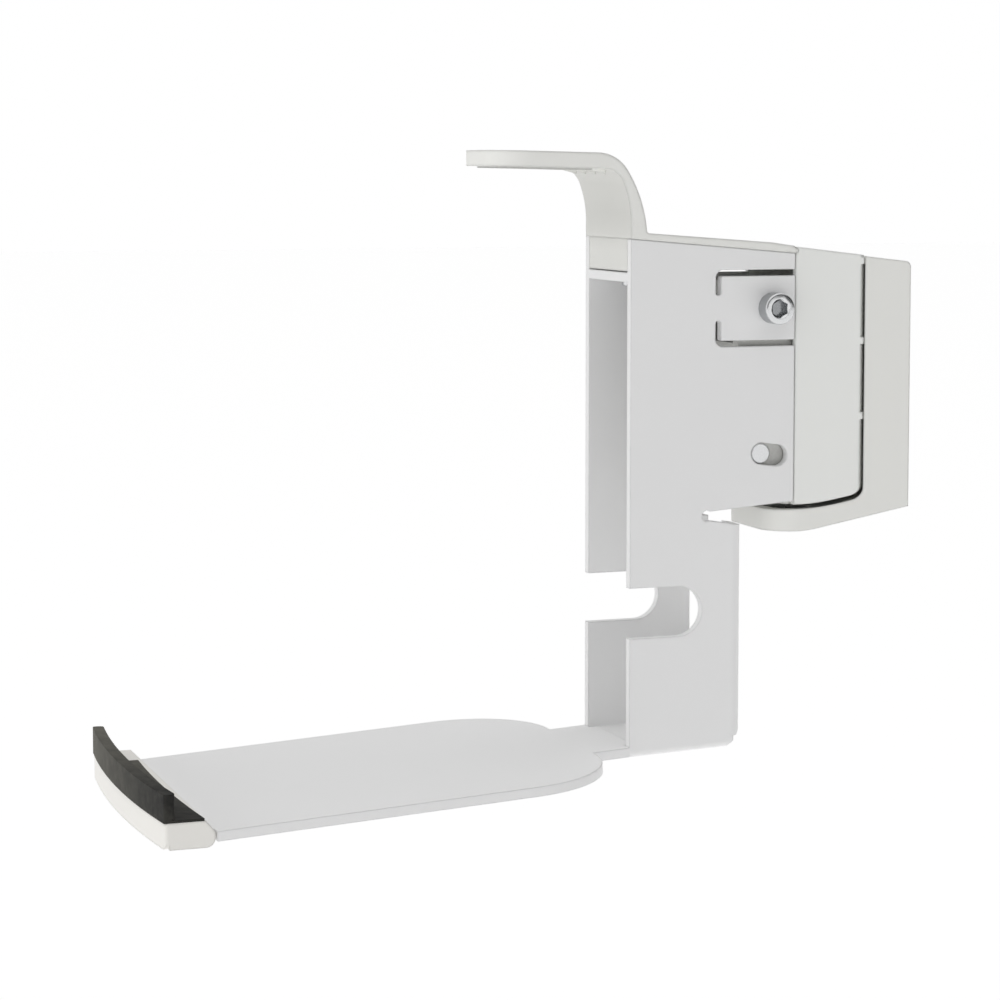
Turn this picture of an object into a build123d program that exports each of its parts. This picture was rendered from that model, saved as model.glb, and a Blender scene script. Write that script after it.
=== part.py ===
from build123d import *
import math
import os

# Speaker wall bracket, in millimetres.
# The origin is the middle of the face that lies on the wall. +Y points into the wall, -Y into the
# room, +Z up. Places are given as a depth behind the column's front edge and a height above the
# rear end of the speaker plate, and at() turns them into Y and Z.

# Sheet steel
sheet = 3.0                    # thickness of the folded column and its plate
bend_inside = 1.5              # inner radius of the flange folds
seam = 0.35                    # gap between the column's rear edge and the block
slip = 0.3                     # side gap between a column wall and the block's core
fit = 0.1                      # gap between pieces that are pushed together and stay
press = 0.02                   # gap round pieces that are pressed in

# Column
column_width = 39.0
column_depth = 56.3            # upper part, front edge to rear edge
lower_depth = 35.9             # lower part, front edge to the plain rear edges of the walls
flange_depth = 39.1            # front edge to the back of the flanges
flange_width = 10.8
flange_foot = 1.5              # height at which the flanges end, above the corner relief
flange_corner = 1.9            # slanting cut at their lower end
gap_low = 28.0                 # the far wall's flange is left out between these two heights
gap_high = 52.0
foot_slope = 2.3               # degrees, the folded bottom rises towards the wall
foot_drop = 0.5                # its sheet lies this far below the plate's, at the front edge
foot_round = 2.2               # outer radius of the two bottom folds
foot_inside = 0.5              # their inner radius
column_top = 160.5             # height of the top edge at the front
top_fall = 5.0                 # degrees, the top edge falls towards the wall
wedge_height = 72.6            # height of the wedge cut between the upper and lower column
wedge_depth = 26.3
wedge_root = 1.8               # radius of its round root
wedge_rise = 4.5               # degrees, upper edge
wedge_drop = 9.4               # degrees, lower edge
notch_height = 42.65           # middle of the cable notch
notch_width = 16.1
notch_depth = 24.7
cross_depth = 24.0             # the cross plate that the hook stands on

# Clamp tongue, cut free by a pair of hook-shaped slots
relief_width = 2.0
relief_corner = 2.5            # outer radius where a slot turns
relief_above = 11.25           # the upper slot's middle lies this far above the clamp screw
relief_below = 11.1
relief_front = 29.8            # depth of the upright legs
relief_leg_above = 4.2         # the upper leg ends this far above the clamp screw
relief_leg_below = 3.7

# Speaker plate
plate_slope = 3.3              # degrees, nose down
plate_half_width = 52.4
plate_corner = 30.5            # radius of the rear corners
neck_depth = -12.3             # where the corners end and the neck starts
lip_shoulder = -141.4          # where the plate steps in under the lip
lip_wrap = 3.4                 # the lip's end walls, outside the stepped-in plate
bow = 3.1                      # how far the front edge bows out at the middle

# Lip and rubber strip
lip_front = -156.5             # depth of the lip's front face at its ends
lip_rear = -141.8
lip_wall = 2.4                 # front wall of the lip
lip_top = -4.8                 # height of the face under the rubber
lip_bottom = -12.7
lip_corner = 2.8               # radius of the rear lower corner
lip_slope_start = -144.6       # where the top slopes down to the plate
lip_edge = 1.0                 # radius of the upright end edges
lip_foot_corner = 2.5          # radius of the lower end corners, on the front face only
lip_foot_deep = 1.2
rubber_proud = 0.4             # the rubber stands out this far from the lip
rubber_thick = 3.5
rubber_height = 8.4
rubber_foot_rear = -145.0      # where the thin foot ends, at the rubber's ends
rubber_foot_bow = 2.2
rubber_foot_cut = -32.7        # the foot stops here, short of the far end
rubber_front_edge = 0.8        # radii of the upright's standing edges
rubber_rear_edge = 1.4
rubber_foot_thick = 0.8
rubber_rib_width = 1.6         # rib under the rubber, pressed into a groove in the lip
rubber_rib_height = 1.6

# Top hook
hook_tip = -44.4               # depth of the arm's tip
hook_thick = 4.9
hook_tip_top = 188.2
hook_slope = 1.3               # degrees, the arm falls towards the wall
hook_tip_corner = 12.0         # corner radius in plan
hook_back = ((42.0, 26.7), (12.0, 56.0))     # arcs of the outside, radius and turn, from the foot up
hook_inner = ((33.0, 22.0), (7.0, 66.7))     # arcs of the inside
hook_rib_x = (4.3, 12.6)       # ribs under the arm, on both sides of the middle
hook_rib_wide = 1.0
hook_rib_proud = 0.5
riser_thick = 5.3              # at the riser's foot
riser_lean = 6.0               # degrees, the riser's back leans over the tongue
riser_root = 1.0               # radius between riser and tongue
tongue_thick = 2.35            # above the column's top edge
tongue_rise = 1.2              # the tongue is thicker by this much near its rear end
tongue_fall_length = 8.0
plug_height = 10.5             # the plug reaches this far down between the walls
plug_wall = 2.6
plug_seam = 0.4                # the plug's walls end this far above the cross plate
plug_pocket = 6.0
hinge_bead = 0.8               # radius of the bead that the column rocks on
hinge_gap = 0.06               # running gap round the bead

# Swivel
swivel_depth = 58.0            # depth of the post's axis
swivel_to_wall = 39.5
block_radius = 29.0            # round back of the block
block_top = 157.7              # at the seam
block_top_fall = 6.8           # degrees
block_bottom = 75.0
cone_start = 18.6              # radius where the underside starts to rise
cone_rise = 15.5               # degrees
block_edge = 3.2               # radius between the underside and the round back
shell_wall = 2.5
shell_lip = 2.4                # lips under the core
rib_proud = 0.8                # rubbing ribs on the round back
rib_heights = (153.0, 127.3, 103.0)
rib_width = 2.2
dish_gap = 1.2                 # between the block's round back and the wall plate
arm_gap = 1.6                  # between the block's underside and the arm

# Core
core_front = 38.0
core_rear = 67.5
core_bottom = 77.0
core_top = 146.5
cheek = 4.0
lower_boss_height = 20.0
boss_gap = 16.0                # free height between the lower and the upper boss
upper_boss_height = 14.0
rear_web = 4.5
front_web = 4.0

# Wall plate
wall_top = 152.5               # height at the wall
wall_top_slope = 6.8           # degrees
wall_bottom = 73.0
wall_corner = 2.0
arm_tip = 48.6
arm_tip_corner = 10.0
arm_underside = 66.4
arm_rise_start = 61.0          # depth where the underside starts to rise
arm_rise_radius = 40.0
arm_wall = 4.2                 # round the well
well_floor = 68.9
well_corner = 6.0
well_behind = 9.0              # the well reaches this far behind the post's axis
back_wall = 2.6                # walls of the pockets in the back
back_rib = 2.0                 # rib between the pockets, and the walls round the screws
wall_screw_spacing = 52.0
wall_screw_hole = 2.6          # radius
wall_screw_recess = 5.2        # radius of the head's recess
wall_screw_web = 3.0           # material under the head

# Post
post_plate = 2.0               # thickness of the steel plate in the well
post_radius = 4.0
shank_radius = 4.25
collar_radius = 8.0
collar_room = 1.0              # round the collar in the shell's underside
post_gap = 0.05                # running gap in the bushes
rivet_radius = 3.0
bush_wall = 1.5
bush_flange = 1.0
bush_flange_radius = 7.4
bush_length = 12.0
disc_thick = 0.8
disc_radius = 7.0
nut_flats = 13.0
nut_height = 8.0
nut_collar = 2.0               # round collar on the nut, which locks it
thread_beyond = 2.0            # the post stands out above the nut
post_chamfer = 0.8

# Screws and pins
clamp_depth = 48.6
clamp_below_cross = 11.7       # the clamp screws' axis lies this far below the cross plate's top
clamp_radius = 3.0
clamp_length = 12.0
clamp_head_radius = 5.0
clamp_head_height = 6.0
clamp_rim = 0.5                # chamfer round the top of the head
clamp_key = 5.0                # hexagon across flats
clamp_play = 0.25              # gap round the screw in the column
clamp_boss = 6.0               # material that the thread runs in
clamp_boss_radius = 7.5
friction_radius = 7.0
friction_thick = 1.2
pin_depth = 44.9
pin_height = 92.0
pin_radius = 3.3
pin_play = 0.2
pin_setback = 0.4              # the pin ends this far inside the column's faces
tilt_range = 5.0               # degrees
hook_screw_x = 9.0
hook_screw_depth = 12.0
hook_screw_radius = 1.75
hook_screw_length = 11.0
hook_screw_head = 3.4
shell_screw_x = 8.6
shell_screw_radius = 1.75
shell_screw_length = 13.0
shell_screw_head = 3.2
shell_screw_access = 3.8       # radius of the holes in the core's front that the heads pass
lip_screw_x = 30.0
lip_screw_depth = -150.0
lip_screw_radius = 1.5
lip_screw_length = 6.2
lip_screw_head = 2.9
plate_screw_x = 8.6
plate_screw_depth = 64.0
plate_screw_radius = 1.5
plate_screw_length = 3.6
plate_screw_head = 2.7
plate_screw_deep = 4.2         # depth of the holes in the arm, from the top of the steel plate
key_flats = 2.0                # hexagon in the small screws
key_deep = 1.2

# Worked out from the values above
half_width = column_width / 2
inside = half_width - sheet
core_half = inside - slip
reach = swivel_depth + swivel_to_wall
middle = (wall_top + wall_bottom) / 2
cross_height = column_top - plug_height
clamp_height = cross_height - clamp_below_cross
lower_boss = core_bottom + lower_boss_height
upper_boss_bottom = lower_boss + boss_gap
upper_boss_top = upper_boss_bottom + upper_boss_height
shell_screw_height = (lower_boss + upper_boss_bottom) / 2
collar_bottom = block_bottom - arm_gap + slip
collar_top = core_bottom - bush_flange
block_front = column_depth + seam
top_rear = column_top - column_depth * math.tan(math.radians(top_fall))
hinge_depth = column_depth + hinge_bead * 0.4
hinge_height = top_rear + hinge_bead + fit
dish_radius = block_radius + dish_gap
long = 400.0                   # longer than the whole bracket, for cutters
rest_screw_radius = clamp_radius + clamp_play


def at(depth, height):
    """Depth behind the column's front edge and height above the plate, as Y and Z."""
    return depth - reach, height - middle


def side_face(points):
    """A closed outline in the side view, given as depths and heights."""
    with BuildSketch(Plane.YZ) as sketch:
        with BuildLine():
            Polyline(*[at(depth, height) for depth, height in points], close=True)
        make_face()
    return sketch.sketch


def rounded(plane, spots, rounds):
    """A closed outline on a plane; some corners, named by their number, are rounded to a radius."""
    with BuildSketch(plane) as sketch:
        with BuildLine():
            Polyline(*spots, close=True)
        make_face()
        for number, radius in rounds:
            corner = sketch.vertices().sort_by_distance((*spots[number], 0))[0]
            fillet(corner, radius)
    return sketch.sketch


def rounded_side(points, rounds):
    """A rounded outline in the side view, given as depths and heights."""
    return rounded(Plane.YZ, [at(depth, height) for depth, height in points], rounds)


def arcs_from(start, heading, turns):
    """Middle and end of each of some arcs in a row, turning left; degrees from the way to the wall."""
    (depth, height), angle = start, math.radians(heading)
    spots = []
    for radius, turn in turns:
        centre_depth = depth - radius * math.sin(angle)
        centre_height = height + radius * math.cos(angle)
        for share in (0.5, 1.0):
            now = angle + math.radians(turn) * share
            spots.append((centre_depth + radius * math.sin(now), centre_height - radius * math.cos(now)))
        angle += math.radians(turn)
        depth, height = spots[-1]
    return spots


def across(face, half):
    """The side outline made solid, from -half to +half in X."""
    return extrude(face, amount=half, both=True)


def bar(x, depth, height, radius, length):
    """A round bar along X, centred on x."""
    y, z = at(depth, height)
    return Pos(x, y, z) * Rot(0, 90, 0) * Cylinder(radius, length)


def column_bar(x, depth, low, high, radius):
    """An upright round bar from one height to another."""
    y, z = at(depth, (low + high) / 2)
    return Pos(x, y, z) * Cylinder(radius, high - low)


def front_bar(x, height, near, far, radius):
    """A round bar along Y, between two depths."""
    y, z = at((near + far) / 2, height)
    return Pos(x, y, z) * Rot(90, 0, 0) * Cylinder(radius, far - near)


def block(x0, x1, depth0, depth1, height0, height1):
    """A box between two values along each axis."""
    y0, z0 = at(depth0, height0)
    y1, z1 = at(depth1, height1)
    middle_point = ((x0 + x1) / 2, (y0 + y1) / 2, (z0 + z1) / 2)
    return Pos(*middle_point) * Box(x1 - x0, y1 - y0, z1 - z0)


def turned(points, rounds=()):
    """A solid of revolution about the post's axis, from radii and heights."""
    y, _ = at(swivel_depth, 0)
    profile = rounded(Plane.XZ, [(radius, height - middle) for radius, height in points], rounds)
    return Pos(0, y, 0) * revolve(profile, Axis.Z)


def hexagon(flats, depth):
    """A hexagonal prism along Z, with its top at zero."""
    return Pos(0, 0, -depth) * extrude(RegularPolygon(flats / math.sqrt(3), 6), amount=depth)


def sloped_frame(height, slope):
    """A plane at the column's front edge: x across, y up, z forwards and down along a slope."""
    turn = math.radians(slope)
    y, z = at(0, height)
    return Plane(origin=(0, y, z), x_dir=(1, 0, 0), z_dir=(0, -math.cos(turn), -math.sin(turn)))


def plate_top(depth):
    """Height of the speaker plate's top face at a depth."""
    return depth * math.tan(math.radians(plate_slope))


def bowed(half, front, rear, low, high, rear_bow=bow):
    """A strip across the plate's front whose long edges bow out."""
    y_front, _ = at(front, 0)
    y_rear, _ = at(rear, 0)
    with BuildSketch(Plane.XY.offset(low - middle)) as sketch:
        with BuildLine():
            ThreePointArc((-half, y_front), (0, y_front - bow), (half, y_front))
            Line((half, y_front), (half, y_rear))
            ThreePointArc((half, y_rear), (0, y_rear - rear_bow), (-half, y_rear))
            Line((-half, y_rear), (-half, y_front))
        make_face()
    return extrude(sketch.sketch, amount=high - low)


# Column

def channel():
    """The U of the two walls and the bottom, folded along a slope of its own."""
    frame = sloped_frame(-foot_drop, foot_slope)
    with BuildSketch(frame) as outside:
        with Locations((0, long / 2 - sheet)):
            Rectangle(column_width, long)
        fillet(outside.vertices().group_by(Axis.Z)[0], foot_round)
    with BuildSketch(frame) as hollow:
        with Locations((0, long / 2)):
            Rectangle(2 * inside, long)
        fillet(hollow.vertices().group_by(Axis.Z)[0], foot_inside)
    run = 2 * column_depth
    return extrude(outside.sketch, amount=-run) - extrude(hollow.sketch, amount=-run)


def column_side():
    """Side view of the folded column, before its cut-outs."""
    outline = [
        (0, -2 * sheet), (0, column_top), (column_depth, top_rear), (column_depth, wedge_height),
        (lower_depth, wedge_height), (lower_depth, 0), (lower_depth - sheet / 2, -sheet / 2),
        (lower_depth - sheet / 2, -2 * sheet),
    ]
    return across(side_face(outline), long)


def column_flange():
    """Inward flange along the rear of one wall, with its bend and its slanting lower end."""
    y_back, _ = at(flange_depth, 0)
    y_start, _ = at(lower_depth - 2 * sheet, 0)
    x_end = half_width - flange_width
    with BuildSketch(Plane.XY.offset(flange_foot - middle)) as sketch:
        with BuildLine():
            Polyline(
                (inside, y_start), (half_width, y_start), (half_width, y_back), (x_end, y_back),
                (x_end, y_back - sheet), (inside, y_back - sheet), close=True)
        make_face()
        outer = sketch.vertices().sort_by_distance((half_width, y_back, 0))[0]
        fillet(outer, bend_inside + sheet)
        inner = sketch.vertices().sort_by_distance((inside, y_back - sheet, 0))[0]
        fillet(inner, bend_inside)
    flange = extrude(sketch.sketch, amount=wedge_height - flange_foot)
    start, end = flange_depth - flange_corner, flange_depth + sheet
    corner = side_face([(start, flange_foot), (end, flange_foot + 1.2 * (end - start)), (end, flange_foot)])
    return flange - across(corner, long)


def wedge_cut():
    """The wedge between the upper and the lower column, with its round root."""
    run = column_depth - wedge_depth + sheet
    rise = run * math.tan(math.radians(wedge_rise))
    drop = run * math.tan(math.radians(wedge_drop))
    start = wedge_root * 0.75
    wedge = across(side_face([
        (wedge_depth, wedge_height + start), (wedge_depth + run, wedge_height + start + rise),
        (wedge_depth + run, wedge_height - start - drop), (wedge_depth, wedge_height - start)]), long)
    return wedge + bar(0, wedge_depth, wedge_height, wedge_root, long)


def cable_notch():
    """The round-ended notch in the front edges of both walls."""
    radius = notch_width / 2
    centre = notch_depth - radius
    straight = block(-long, long, -radius, centre, notch_height - radius, notch_height + radius)
    return straight + bar(0, centre, notch_height, radius, long)


def relief_slot(height, leg_end):
    """One slot from the rear edge forwards, with an upright leg and a round outer corner."""
    half = relief_width / 2
    towards = 1 if leg_end > height else -1
    outer = height - towards * half
    inner = height + towards * half
    leg = leg_end - towards * half
    points = [
        (column_depth + sheet, outer), (column_depth + sheet, inner), (relief_front + half, inner),
        (relief_front + half, leg), (relief_front - half, leg), (relief_front - half, outer),
    ]
    slot = across(rounded_side(points, [(5, relief_corner), (2, relief_corner - relief_width)]), long)
    return slot + bar(0, relief_front, leg, half, long)


def swung(depth, height, angle):
    """A point of the core, seen from the column when the column is tilted by an angle."""
    turn = math.radians(angle)
    back, up = depth - hinge_depth, height - hinge_height
    return (hinge_depth + back * math.cos(turn) - up * math.sin(turn),
            hinge_height + back * math.sin(turn) + up * math.cos(turn))


def travel_slot(depth, height, radius):
    """The curved slot that a pin of the core needs in the walls over the whole tilt."""
    first = swung(depth, height, 0)
    last = swung(depth, height, tilt_range)
    swing = math.hypot(depth - hinge_depth, height - hinge_height)
    ring = bar(0, hinge_depth, hinge_height, swing + radius, long)
    ring = ring - bar(0, hinge_depth, hinge_height, swing - radius, 2 * long)
    sector = [(hinge_depth, hinge_height)]
    for spot_depth, spot_height in (first, last):
        sector.append((2 * spot_depth - hinge_depth, 2 * spot_height - hinge_height))
    slot = ring & across(side_face(sector), long)
    return slot + bar(0, *first, radius, long) + bar(0, *last, radius, long)


def speaker_plate():
    """The long flat plate with its round rear corners, the neck and the stepped-in front."""
    slope = math.cos(math.radians(plate_slope))
    inner_half = plate_half_width - lip_wrap
    front = (lip_front + lip_wall + fit) / slope
    shoulder = lip_shoulder / slope
    neck = neck_depth / slope
    overlap = sheet
    flat = half_width - bend_inside - sheet
    up = sloped_frame(0, plate_slope)
    plan = Plane(origin=up.origin, x_dir=(1, 0, 0), z_dir=up.y_dir)
    with BuildSketch(plan) as sketch:
        with BuildLine():
            Polyline((inner_half, front), (inner_half, shoulder), (plate_half_width, shoulder),
                     (plate_half_width, neck - plate_corner))
            RadiusArc((plate_half_width, neck - plate_corner),
                      (plate_half_width - plate_corner, neck), -plate_corner)
            Polyline((plate_half_width - plate_corner, neck), (half_width, neck), (half_width, 0),
                     (flat, 0), (flat, overlap), (-flat, overlap), (-flat, 0), (-half_width, 0),
                     (-half_width, neck), (plate_corner - plate_half_width, neck))
            RadiusArc((plate_corner - plate_half_width, neck),
                      (-plate_half_width, neck - plate_corner), -plate_corner)
            Polyline((-plate_half_width, neck - plate_corner), (-plate_half_width, shoulder),
                     (-inner_half, shoulder), (-inner_half, front))
            ThreePointArc((-inner_half, front), (0, front - bow), (inner_half, front))
        make_face()
    return extrude(sketch.sketch, amount=-sheet)


def cone_screw(radius, length, head, flats, deep):
    """A countersunk screw, head upwards, its flat top at zero."""
    head_height = head - radius
    body = Pos(0, 0, -length / 2) * Cylinder(radius, length)
    body += Pos(0, 0, -head_height / 2) * Cone(radius, head, head_height)
    return body - hexagon(flats, deep)


def cone_hole(radius, length, head):
    """The countersunk hole for such a screw."""
    head_height = head - radius
    hole = Pos(0, 0, -length / 2) * Cylinder(radius + fit, length)
    return hole + Pos(0, 0, -head_height / 2 + fit / 2) * Cone(radius + fit, head + 2 * fit, head_height + fit)


def pan_screw(radius, length, head, flats, deep):
    """A pan head screw pointing up, the underside of its head at zero."""
    head_height = head * 0.75
    top = Pos(0, 0, -head_height / 2) * Cylinder(head, head_height)
    top = fillet(top.edges().group_by(Axis.Z)[0], head_height * 0.45)
    socket = Pos(0, 0, -head_height) * Rot(180, 0, 0) * hexagon(flats, deep)
    return top + Pos(0, 0, length / 2) * Cylinder(radius, length) - socket


def make_column():
    body = channel() & column_side()
    gap = block(-half_width - sheet, 0, 0, column_depth, gap_low, gap_high)
    bend_start = flange_depth - bend_inside - sheet
    room = block(inside, half_width + sheet, bend_start, flange_depth, flange_foot, wedge_height)
    body = body - room - (mirror(room, about=Plane.YZ) - gap)
    body = body + column_flange() + (mirror(column_flange(), about=Plane.YZ) - gap)
    body = body - wedge_cut() - cable_notch()
    body = body - relief_slot(clamp_height + relief_above, clamp_height + relief_leg_above)
    body = body - relief_slot(clamp_height - relief_below, clamp_height - relief_leg_below)
    body = body - travel_slot(clamp_depth, clamp_height, rest_screw_radius)
    body = body - travel_slot(pin_depth, pin_height, pin_radius + pin_play)
    weld = inside + sheet / 2
    body = body + block(-weld, weld, 0, cross_depth, cross_height - sheet, cross_height)
    body = body + speaker_plate()
    for side in (-1, 1):
        y, z = at(hook_screw_depth, cross_height - sheet / 2)
        body = body - Pos(side * hook_screw_x, y, z) * Cylinder(hook_screw_radius + fit, 2 * sheet)
        body = body - lip_screw_place(side) * cone_hole(lip_screw_radius, lip_screw_length, lip_screw_head)
    return body


def lip_screw_place(side):
    """Where a lip screw's head lies: flush with the underside of the plate, pointing up."""
    slope = math.radians(plate_slope)
    y, z = at(lip_screw_depth, plate_top(lip_screw_depth) - sheet / math.cos(slope))
    return Pos(side * lip_screw_x, y, z) * Rot(180 + plate_slope, 0, 0)


def make_lip_screws():
    screw = cone_screw(lip_screw_radius, lip_screw_length, lip_screw_head, key_flats, key_deep)
    return Compound([lip_screw_place(side) * screw for side in (-1, 1)])


def lip_side():
    """Side view of the lip, its front left long for the bowed cut."""
    start = lip_front - 2 * bow
    points = [(start, lip_top), (lip_slope_start, lip_top), (lip_rear, plate_top(lip_rear)),
              (lip_rear, lip_bottom), (start, lip_bottom)]
    return across(rounded_side(points, [(3, lip_corner)]), long)


def under_plate():
    """Everything below the plane of the speaker plate's top face, near the lip."""
    front, rear = lip_front - 4 * bow, lip_rear + 4 * bow
    return across(side_face([
        (front, plate_top(front) + fit), (rear, plate_top(rear) + fit),
        (rear, lip_bottom - fit), (front, lip_bottom - fit)]), long)


def make_front_lip():
    half = plate_half_width
    body = bowed(half, lip_front, lip_rear + 3 * bow, lip_bottom, lip_top)
    body = fillet(body.edges().filter_by(Axis.Z).sort_by(Axis.Y)[0:2], lip_edge) & lip_side()
    front, step = lip_front - 2 * bow, lip_front + lip_foot_deep
    low, high = lip_bottom, lip_bottom + lip_foot_corner
    for side in (-1, 1):
        x_in, x_out = side * (half - lip_foot_corner), side * (half + 1)
        y, z = at(step, high)
        corner = block(min(x_in, x_out), max(x_in, x_out), front, step, low - 1, high)
        body = body - (corner - Pos(x_in, y, z) * Rot(90, 0, 0) * Cylinder(lip_foot_corner, long))
    inner = plate_half_width - lip_wrap + fit
    pocket = bowed(inner, lip_front + lip_wall, lip_rear + 3 * bow, lip_bottom - fit, lip_top + fit)
    body = body - (pocket & under_plate())
    groove_front = lip_front - rubber_proud + rubber_thick / 2 - rubber_rib_width / 2
    groove = bowed(half - lip_wrap + fit, groove_front - fit, groove_front + rubber_rib_width + fit,
                   lip_top - rubber_rib_height - fit, lip_top + fit)
    body = body - groove
    for side in (-1, 1):
        body = body - lip_screw_place(side) * cone_hole(lip_screw_radius, lip_screw_length, lip_screw_head)
    return body


def make_lip_rubber():
    half = plate_half_width
    front = lip_front - rubber_proud
    upright = bowed(half, front, front + rubber_thick, lip_top, lip_top + rubber_height)
    standing = upright.edges().filter_by(Axis.Z).sort_by(Axis.Y)
    upright = fillet(standing[0:2], rubber_front_edge)
    standing = upright.edges().filter_by(Axis.Z).sort_by(Axis.Y)
    upright = fillet(standing[-2:], rubber_rear_edge)
    foot = bowed(half, front + rubber_thick / 2, rubber_foot_rear,
                 lip_top, lip_top + rubber_foot_thick, rubber_foot_bow)
    foot = foot & block(rubber_foot_cut, half, lip_front - 2 * bow, 0, lip_top, 0)
    rib_front = front + rubber_thick / 2 - rubber_rib_width / 2
    rib = bowed(half - lip_wrap, rib_front, rib_front + rubber_rib_width, lip_top - rubber_rib_height, lip_top)
    return upright + foot + rib


# Top hook

def arm_top(depth):
    """Height of the hook arm's top face at a depth."""
    return hook_tip_top - (depth - hook_tip) * math.tan(math.radians(hook_slope))


def bend(foot_depth, heading, turns, drop):
    """Points of one side of the bend, from its foot up to the arm, whose top lies a drop above it."""
    rise = arcs_from((foot_depth, 0), heading, turns)
    foot_height = arm_top(rise[-1][0]) - drop - rise[-1][1]
    return [(foot_depth, foot_height)] + [(depth, height + foot_height) for depth, height in rise]


def hook_outline():
    """Side view of the hook: arm, bend, riser and tongue."""
    back = bend(riser_thick, 90 + riser_lean, hook_back, 0)
    inner = bend(0, 90, hook_inner, hook_thick)
    seat = column_top - tongue_seat_fall(riser_thick)
    lean = (back[0][1] - seat - tongue_thick) * math.tan(math.radians(riser_lean))
    tongue_rear = column_depth - fit
    rear_bottom = column_top - tongue_seat_fall(tongue_rear)
    root = (riser_thick + lean, seat + tongue_thick)
    with BuildSketch(Plane.YZ) as sketch:
        with BuildLine():
            Polyline(at(*back[4]), at(hook_tip, hook_tip_top),
                     at(hook_tip, hook_tip_top - hook_thick), at(*inner[4]))
            ThreePointArc(at(*inner[4]), at(*inner[3]), at(*inner[2]))
            ThreePointArc(at(*inner[2]), at(*inner[1]), at(*inner[0]))
            Polyline(
                at(*inner[0]), at(0, column_top + fit), at(tongue_rear, rear_bottom + fit),
                at(tongue_rear, rear_bottom + tongue_thick),
                at(tongue_rear - tongue_fall_length, rear_bottom + tongue_thick + tongue_rise),
                at(*root), at(*back[0]))
            ThreePointArc(at(*back[0]), at(*back[1]), at(*back[2]))
            ThreePointArc(at(*back[2]), at(*back[3]), at(*back[4]))
        make_face()
        corner = sketch.vertices().sort_by_distance((*at(*root), 0))[0]
        fillet(corner, riser_root)
    return sketch.sketch


def tongue_seat_fall(depth):
    """How far the column's top edge has fallen at a depth."""
    return depth * math.tan(math.radians(top_fall))


def hook_rib(x):
    """A shallow rib along the arm's underside, which runs out on the inner curve."""
    rear = bend(0, 90, hook_inner, hook_thick)[3][0]
    front = hook_tip + hook_thick
    under = hook_thick + hook_rib_proud
    outline = side_face([
        (front, arm_top(front) - under), (rear, arm_top(rear) - under),
        (rear, arm_top(rear) - hook_thick / 2), (front, arm_top(front) - hook_thick / 2)])
    return Pos(x, 0, 0) * across(outline, hook_rib_wide / 2)


def make_top_hook():
    body = across(hook_outline(), half_width)
    tip_edges = body.edges().filter_by(Axis.Z).sort_by(Axis.Y)[0:2]
    body = fillet(tip_edges, hook_tip_corner)
    for x in hook_rib_x:
        body = body + hook_rib(x) + hook_rib(-x)
    plug_half = inside - fit
    rear = cross_depth - fit
    floor = cross_height + plug_seam
    body = body + block(-plug_half, plug_half, 0, rear, floor, column_top)
    # a pocket in the plug, open to the rear, leaves the front wall, a middle rib and two screw bosses
    pocket_half = plug_half - plug_wall
    pocket_top = cross_height + plug_pocket
    body = body - block(-pocket_half, pocket_half, riser_thick, rear + fit, floor - fit, pocket_top)
    body = body + block(-plug_wall / 2, plug_wall / 2, plug_wall, rear, cross_height, pocket_top + fit)
    for side in (-1, 1):
        x = side * hook_screw_x
        bore_top = cross_height + hook_screw_length - sheet + fit
        body = body + column_bar(x, hook_screw_depth, cross_height, pocket_top + fit, hook_screw_radius * 2.2)
        body = body - column_bar(x, hook_screw_depth, cross_height - fit, bore_top, hook_screw_radius + fit)
    # the bead that the column rocks on runs along the tongue's rear end
    return body + bar(0, hinge_depth, hinge_height, hinge_bead, column_width)


def make_hook_screws():
    screw = pan_screw(hook_screw_radius, hook_screw_length, hook_screw_head, key_flats, key_deep)
    y, z = at(hook_screw_depth, cross_height - sheet)
    return Compound([Pos(side * hook_screw_x, y, z) * screw for side in (-1, 1)])


# Swivel block

def block_form(inset, low, top):
    """The block's form about the post: flat bottom, rising cone, round edge and round back."""
    back = block_radius - inset
    high = low + (back - cone_start) * math.tan(math.radians(cone_rise))
    profile = [(0, low), (cone_start, low), (back, high), (back, top), (0, top)]
    return turned(profile, [(2, block_edge - inset)])


def block_top_cut(lower):
    """Everything above the block's sloping top, lowered by a wall's thickness."""
    run = long
    fall = run * math.tan(math.radians(block_top_fall))
    return across(side_face([
        (block_front - run, block_top - lower + fall), (block_front + run, block_top - lower - fall),
        (block_front + run, block_top + run), (block_front - run, block_top + run)]), long)


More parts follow.
